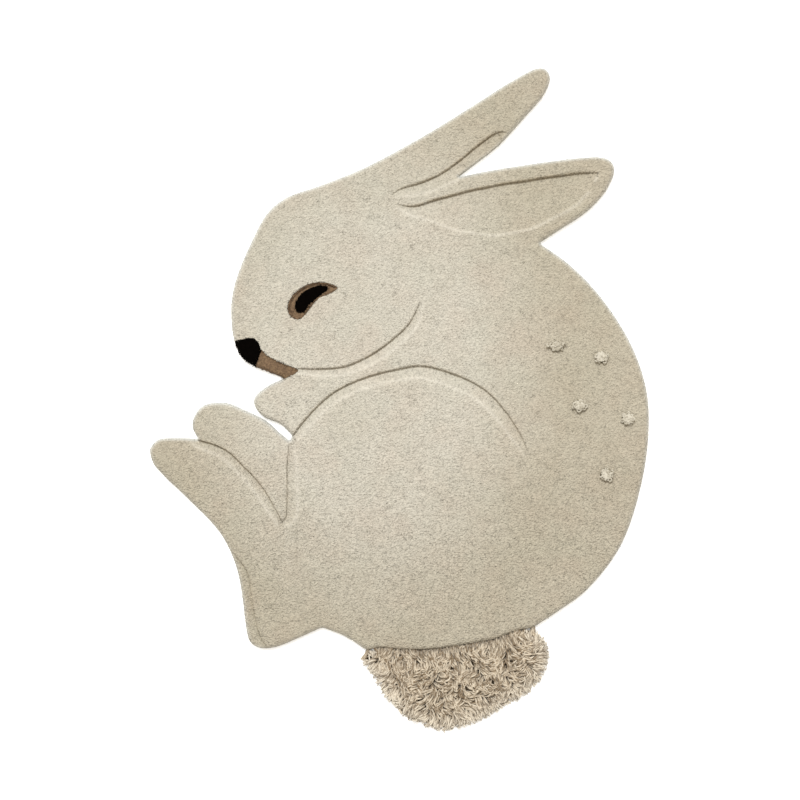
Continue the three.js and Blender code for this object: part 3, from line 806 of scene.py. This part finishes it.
def object_place(tree):
    """The place on the piece, in metres."""
    return add(tree, "ShaderNodeTexCoord").outputs["Object"]


def shade_of(tree, name, most=1.0):
    """One of the shades that a mesh carries for its points, times the most that it may be."""
    shade = add(tree, "ShaderNodeAttribute", attribute_name=name).outputs["Fac"]
    return sum_of(tree, "MULTIPLY", shade, most)


def finish_material(tree, tone, roughness, shine, **inputs):
    """Ends a material with a dull surface of that tone."""
    shader = add(tree, "ShaderNodeBsdfPrincipled", {
        "Base Color": tone, "Roughness": roughness, "Specular IOR Level": shine, **inputs,
    })
    add(tree, "ShaderNodeOutputMaterial", {"Surface": shader.outputs["BSDF"]})


def finish_wool(tree, tone, height, depth, roughness, shine, sheen):
    """Ends a wool's material: matt fibres with a soft sheen, and a bump of that depth."""
    bump = add(tree, "ShaderNodeBump", {"Height": height, "Distance": depth, "Strength": 1.0})
    finish_material(tree, tone, roughness, shine, **{
        "Normal": bump.outputs["Normal"], "IOR": 1.45,
        "Sheen Weight": sheen, "Sheen Roughness": 0.5,
    })


def carved_painted_light(tree, place, tone, edge, lip, fold, rim):
    """Painted light on carved pile: shade outwards and in folds, highlights at lips and rim."""
    # Painted shade: darker towards the rug's outer parts, away from a point near its middle
    from_middle = vector_of(tree, "SUBTRACT", place, (-0.052, 0.063, 0.0))
    stretched = vector_of(tree, "MULTIPLY", from_middle, (1.4, 1.0, 0.0))
    far = vector_of(tree, "LENGTH", stretched, output="Value")
    tone = mixed(tree, ranged(tree, far, 0.24, 0.46), tone, linear(edge), "MULTIPLY")
    # Painted highlight along the channels' lips
    tone = mixed(tree, shade_of(tree, "lip", 0.26), tone, linear(lip))
    # Painted shade deep in the channels' folds
    tone = mixed(tree, shade_of(tree, "fold"), tone, linear(fold), "MULTIPLY")
    # Painted highlight at the rug's rim
    return mixed(tree, shade_of(tree, "rim", 0.95), tone, linear(rim))


def slits(tree, place):
    """The short bent slits that open here and there between the tufts of cut pile."""
    size = 6 * MM
    warp = add(tree, "ShaderNodeTexNoise", {"Vector": place, "Scale": 1 / size})
    bent = vector_of(tree, "MULTIPLY_ADD", warp.outputs["Color"], (size, size, 0.0), place)
    apart = add(tree, "ShaderNodeTexVoronoi", {
        "Vector": bent, "Scale": 1 / (5.2 * MM),
    }, feature="DISTANCE_TO_EDGE").outputs["Distance"]
    parted = ranged(tree, unevenness(tree, place, 4.5 * MM), 0.53, 0.63)
    return sum_of(tree, "MULTIPLY", ranged(tree, apart, 0.0, 0.1, 1.0, 0.0), parted)


def cut_wool(
    name, main, depth, speckle, patches=(), sheen=0.12, shine=0.15, slit_shade=0.0, carved=None,
):
    """Wool pile cut level by the shears: matt, and speckled by yarn ends that differ in tone.

    It has patches of slightly other wool, slits between its tufts with painted shade in them that
    darkens towards the feet, and a bump that gets coarser towards the feet. Where it is carved, it
    takes painted light: shade outwards and in the folds, highlights at the lips and rim."""
    material, tree = material_named(name)
    place = object_place(tree)
    tone = linear(main)
    for number, (patch, size_mm, most) in enumerate(patches):
        cloud = add(tree, "ShaderNodeTexNoise", {
            "Vector": place, "Scale": 1 / (size_mm * MM), "Detail": 3.0, "W": 3.1 * number,
        }, noise_dimensions="4D").outputs["Fac"]
        tone = mixed(tree, ranged(tree, cloud, 0.42, 0.66, 0.0, most), tone, linear(patch))
    if carved:
        tone = carved_painted_light(tree, place, tone, *carved)

    yarn = add(tree, "ShaderNodeTexVoronoi", {"Vector": place, "Scale": 1 / (2.4 * MM)})
    grey = add(tree, "ShaderNodeSeparateColor", {"Color": yarn.outputs["Color"]})
    fibre = unevenness(tree, place, 1.6 * MM, 2.0)
    mixture = sum_of(tree, "ADD", grey.outputs["Red"], fibre)
    value = ranged(tree, mixture, 0.4, 1.6, 1 - speckle, 1 + speckle)
    along = add(tree, "ShaderNodeSeparateXYZ", {"Vector": place}).outputs["Y"]
    coarse = ranged(tree, along, 0.05, -0.25)
    slit = slits(tree, place)
    # Painted shade in the slits between tufts, darker towards the feet
    shaded = sum_of(tree, "MULTIPLY", slit, ranged(tree, coarse, 0.0, 1.0, slit_shade, 1.8 * slit_shade))
    speckled = add(tree, "ShaderNodeHueSaturation", {
        "Color": tone, "Value": sum_of(tree, "SUBTRACT", value, shaded),
    })

    clump = unevenness(tree, place, 2.9 * MM, Roughness=0.6)
    curl = unevenness(tree, place, 4.4 * MM, Distortion=0.5)
    tufts = unevenness(tree, place, 5.5 * MM, Distortion=0.8)
    shorn = sum_of(tree, "MULTIPLY_ADD", curl, 0.4, clump)
    lumps = sum_of(tree, "MULTIPLY", coarse, 0.7)
    rough = sum_of(tree, "MULTIPLY_ADD", tufts, lumps, shorn)
    rough = sum_of(tree, "MULTIPLY_ADD", slit, -0.15, rough)
    rough = sum_of(tree, "MULTIPLY", rough, ranged(tree, coarse, 0.0, 1.0, 0.86, 1.05))
    if carved:
        pressed = ranged(tree, shade_of(tree, "lip"), 0.0, 1.0, 1.0, 0.65)
        rough = sum_of(tree, "MULTIPLY", rough, pressed)
    finish_wool(tree, speckled.outputs["Color"], rough, depth, 0.92, shine, sheen)
    return material


def loose_wool(name, dark, light, ends=None):
    """Loose spun wool, undyed: each yarn has its own tone, and its fibres are soft and uneven.

    The ends are the colours of painted shade deep at the roots and of a painted highlight
    towards the tips at the tail's rim."""
    material, tree = material_named(name)
    place = object_place(tree)
    yarn = add(tree, "ShaderNodeNewGeometry").outputs["Random Per Island"]
    fibre = unevenness(tree, place, 2.2 * MM, 2.0)
    share = ranged(tree, sum_of(tree, "ADD", yarn, fibre), 0.45, 1.2)
    tone = mixed(tree, share, linear(dark), linear(light))
    if ends:
        deep, rim = ends
        # Painted shade: darker towards the roots, where the locks shade each other
        tone = mixed(tree, shade_of(tree, "root", 0.68), tone, linear(deep))
        # Painted highlight: paler towards the tips near the tail's rim
        tone = mixed(tree, shade_of(tree, "rim", 0.65), tone, linear(rim))
    finish_wool(tree, tone, fibre, 1.0 * MM, 0.85, 0.2, 0.15)
    return material


def woven_backing(name, colour, thread):
    """Coarse plain weave of dull jute, seen only from below: threads pass over and under."""
    material, tree = material_named(name)
    place = object_place(tree)
    turns = math.pi / 10 / thread  # a wave texture's bands are pi / 10 apart at a scale of 1
    warp, weft = (
        add(tree, "ShaderNodeTexWave", {"Vector": place, "Scale": turns}, bands_direction=way)
        for way in ("X", "Y")
    )
    over = add(tree, "ShaderNodeTexChecker", {"Vector": place, "Scale": 1 / thread})
    height = add(tree, "ShaderNodeMix", {
        0: over.outputs["Fac"], 2: warp.outputs["Fac"], 3: weft.outputs["Fac"],
    }).outputs[0]
    fibre = unevenness(tree, place, 4 * thread, 5.0)
    woven = add(tree, "ShaderNodeHueSaturation", {
        "Color": linear(colour), "Value": sum_of(tree, "MULTIPLY_ADD", height, 0.35, fibre),
    })
    bump = add(tree, "ShaderNodeBump", {"Height": height, "Distance": 0.3 * thread})
    finish_material(
        tree, woven.outputs["Color"], 0.95, 0.15, Normal=bump.outputs["Normal"], IOR=1.45,
    )
    return material


def back_with(piece, material):
    """Gives a piece's level underside a material of its own."""
    piece.data.materials.append(material)
    for face in piece.data.polygons:
        if face.normal.z < -LEVEL and face.center.z < BACKING / 2:
            face.material_index = 1


class RUG_OT_pale_pile(bpy.types.Operator):
    """Makes the pale field of cut pile, with its carved lines and its rounded rim"""

    bl_idname = "rug.pale_pile"
    bl_label = "Pale pile"

    def execute(self, context):
        rug = context.scene.rabbit_rug
        colour = rug.colour
        # Undyed wool, oatmeal, shorn so closely that it shows as a fine matt speckle
        wool = cut_wool(
            "cut wool pile, oatmeal", colour.oatmeal, depth=3.6 * MM, speckle=0.12,
            patches=[(colour.rose, 55, 0.4), (colour.lichen, 80, 0.35)], slit_shade=0.13,
            # Painted light on the carving: shade outwards and in folds, highlights at lips and rim
            carved=(colour.edge, colour.lip, colour.fold, colour.rim),
        )
        random = np.random.default_rng(SEED)
        pitch = rug.pile.ground_pitch
        solid = Solid("rug_body", pitch)
        joining = [outline_of(node, pitch) for node in ("nose", "muzzle", "tail_shag")]
        rim = solid.rings[0]
        is_free = nearest(rim, np.vstack(joining))[0] > 3 * MM
        # Painted highlight at the rim, stronger where the rim faces towards the key light
        upwards = outward(smoothed(rim, 4, ~is_free))[is_free, 1]
        rim_light = np.clip(0.6 + 0.5 * upwards, 0.3, 1)
        rim = rim[is_free]
        points, triangles = pile_ground(solid, rug.pile, pitch, random)
        ground = piece_of(
            "pale_pile", points, triangles, wool, "pale_pile", "rug_body",
            shades=painted_light_masks(points, solid, rim, rim_light, rug.pile),
        )
        back_with(ground, woven_backing("woven jute, backing", colour.jute, 2.5 * MM))
        points, triangles, feet = yarn_ends(solid, rug.pile, random, True)
        order = np.argsort(feet[:, 1], kind="stable")
        cones = points.reshape(-1, 4, 3)
        shades = painted_light_masks(feet, solid, rim, rim_light, rug.pile)
        for number, chosen in enumerate(np.array_split(order, 3)):
            local = triangles[: 4 * len(chosen)]
            piece_of(
                f"yarn_ends_{number + 1}", cones[chosen].reshape(-1, 3), local, wool, "pale_pile",
                shades={name: np.repeat(values[chosen], 4) for name, values in shades.items()},
            )
        return {"FINISHED"}


class RUG_OT_dark_fields(bpy.types.Operator):
    """Makes the nose, the muzzle, the eye's surround and the pupil of darker cut pile"""

    bl_idname = "rug.dark_fields"
    bl_label = "Dark fields"

    def execute(self, context):
        rug = context.scene.rabbit_rug
        colour = rug.colour
        # Wool dyed black soaks up the light, so that hardly its nap shows
        black = cut_wool(
            "cut wool pile, black", colour.black, depth=1.2 * MM, speckle=0.3, sheen=0.0,
            shine=0.03,
        )
        # Wool dyed brown takes the dye unevenly, in small paler spots
        brown = cut_wool(
            "cut wool pile, brown", colour.brown, depth=2.4 * MM, speckle=0.3, sheen=0.05,
            patches=[(colour.beige, 9, 0.3)],
        )
        fields = [
            ("nose", black, "black_pile"), ("muzzle", brown, "brown_pile"),
            ("eye_surround", brown, "brown_pile"), ("eye_pupil", black, "black_pile"),
        ]
        random = np.random.default_rng(SEED + 1)
        for node, wool, slot in fields:
            parting = EYE_PARTING if node == "eye_surround" else None
            solid = Solid(node, rug.pile.field_pitch, parting)
            ground = pile_ground(solid, rug.pile, rug.pile.field_pitch, random)
            ends = yarn_ends(solid, rug.pile, random, False)[:2]
            points, triangles = joined(ground, ends)
            piece_of(f"{node}_pile", points, triangles, wool, slot, node)
        return {"FINISHED"}


class RUG_OT_tail(bpy.types.Operator):
    """Makes the tail of long shag, thick locks of loose yarn over ground painted dark as shade"""

    bl_idname = "rug.tail"
    bl_label = "Tail"

    def execute(self, context):
        rug = context.scene.rabbit_rug
        colour = rug.colour
        pitch = rug.pile.ground_pitch
        # The same wool as the yarns, in their shadow
        deep = cut_wool(
            "shag wool, deep in the pile", colour.deep, depth=1.4 * MM, speckle=0.3,
        )
        # Painted shade at the yarns' roots and a painted highlight at their tips near the rim
        wool = loose_wool(
            "shag wool, loose yarns", colour.beige, colour.cream, (colour.deep, colour.rim),
        )
        random = np.random.default_rng(SEED + 2)
        solid = Solid("tail_shag", pitch)
        whole = solid.rings[0]
        is_seam = nearest(whole, outline_of("rug_body", pitch))[0] < 1.5 * MM
        even = smoothed(whole, 60, is_seam)
        out = outward(even)
        is_free = np.clip(nearest(whole, whole[is_seam])[0] / (12 * MM), 0, 1)[:, None]
        solid.rings = [whole + is_free * (even - out * 2.5 * MM - whole)]
        points, triangles = pile_ground(solid, rug.pile, pitch, random, 0.4)
        ground = piece_of("tail_ground", points, triangles, deep, "shag", "tail_shag")
        solid.rings = [whole + is_free * (even + out * 1.5 * MM - whole)]
        points, triangles, shades = shag_yarns(solid, is_seam, rug.shag, random)
        one_yarn = SIDES * rug.shag.steps
        half = len(points) // 2 // one_yarn * one_yarn
        for number, (start, end) in enumerate(((0, half), (half, len(points)))):
            chosen = triangles[(triangles[:, 0] >= start) & (triangles[:, 0] < end)]
            piece_of(
                f"tail_locks_{number + 1}", points[start:end], chosen - start, wool, "shag",
                shades={name: values[start:end] for name, values in shades.items()},
            )
        return {"FINISHED"}


class RUG_OT_knots(bpy.types.Operator):
    """Makes the knots of looped yarn on the back"""

    bl_idname = "rug.knots"
    bl_label = "Knots"

    def execute(self, context):
        rug = context.scene.rabbit_rug
        colour = rug.colour
        wool = loose_wool("looped wool yarn, oatmeal", colour.knot_dark, colour.knot_pale)
        random = np.random.default_rng(SEED + 3)
        for node in KNOTS:
            solid = Solid(node, rug.pile.field_pitch)
            heart = pile_ground(solid, rug.pile, rug.pile.field_pitch, random, 0.92, 2 * MM)
            points, triangles = joined(heart, knot_yarns(solid, rug.knot, random))
            piece_of(f"{node}_loops", points, triangles, wool, "knot_yarn", node)
        return {"FINISHED"}


class RUG_OT_stage(bpy.types.Operator):
    """Makes the pale floor, the soft light from beyond the ears and the camera straight above"""

    bl_idname = "rug.stage"
    bl_label = "Stage"

    def execute(self, context):
        stage = context.scene.rabbit_rug.stage
        mesh = bpy.data.meshes.new("floor")
        reach = 4.0
        mesh.from_pydata(
            [(-reach, -reach, 0), (reach, -reach, 0), (reach, reach, 0), (-reach, reach, 0)],
            [], [(0, 1, 2, 3)],
        )
        floor = bpy.data.objects.new("floor", mesh)
        context.scene.collection.objects.link(floor)
        # A floor so white that the light on it bleaches out
        material, tree = material_named("matt white paint")
        finish_material(tree, linear(stage.floor), 0.9, 0.1, **{
            "Emission Color": (1, 1, 1, 1), "Emission Strength": 0.45,
        })
        mesh.materials.append(material)
        floor.location.z = -0.2 * MM

        key = bpy.data.lights.new("key", "SUN")
        key.energy = stage.key
        key.angle = stage.key_softness
        lamp = bpy.data.objects.new("key", key)
        context.scene.collection.objects.link(lamp)
        towards = Vector((
            -math.sin(stage.key_turn) * math.cos(stage.key_height),
            math.cos(stage.key_turn) * math.cos(stage.key_height),
            math.sin(stage.key_height),
        ))
        lamp.rotation_euler = towards.to_track_quat("Z", "Y").to_euler()

        world = bpy.data.worlds.new("soft room")
        world.use_nodes = True
        background = world.node_tree.nodes["Background"]
        background.inputs["Color"].default_value = linear(stage.sky)
        background.inputs["Strength"].default_value = stage.fill
        context.scene.world = world
        context.scene.view_settings.view_transform = "Standard"

        data = bpy.data.cameras.new("camera")
        data.sensor_width = 36
        data.lens = data.sensor_width * (stage.camera_height - 5 * MM) / stage.view_width
        data.clip_end = 100
        camera = bpy.data.objects.new("camera", data)
        camera.location = (stage.view_x, stage.view_y, stage.camera_height)
        context.scene.collection.objects.link(camera)
        context.scene.camera = camera
        return {"FINISHED"}


class RUG_PT_panel(bpy.types.Panel):
    """Lists what the rug is made of"""

    bl_label = "Rabbit rug"
    bl_idname = "RUG_PT_panel"
    bl_space_type = "VIEW_3D"
    bl_region_type = "UI"
    bl_category = "Rabbit rug"

    def draw(self, context):
        for made in OPERATORS:
            self.layout.operator(made.bl_idname)


SETTINGS = (PileSettings, ShagSettings, KnotSettings, ColourSettings, StageSettings, RugSettings)
OPERATORS = (RUG_OT_stage, RUG_OT_pale_pile, RUG_OT_dark_fields, RUG_OT_tail, RUG_OT_knots)


def register():
    for kind in (*SETTINGS, *OPERATORS, RUG_PT_panel):
        bpy.utils.register_class(kind)
    bpy.types.Scene.rabbit_rug = PointerProperty(type=RugSettings)


def unregister():
    del bpy.types.Scene.rabbit_rug
    for kind in reversed((*SETTINGS, *OPERATORS, RUG_PT_panel)):
        bpy.utils.unregister_class(kind)


def main():
    register()
    bpy.ops.rug.stage()
    bpy.ops.rug.pale_pile()
    bpy.ops.rug.dark_fields()
    bpy.ops.rug.tail()
    bpy.ops.rug.knots()
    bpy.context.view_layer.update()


if __name__ == "__main__":
    main()
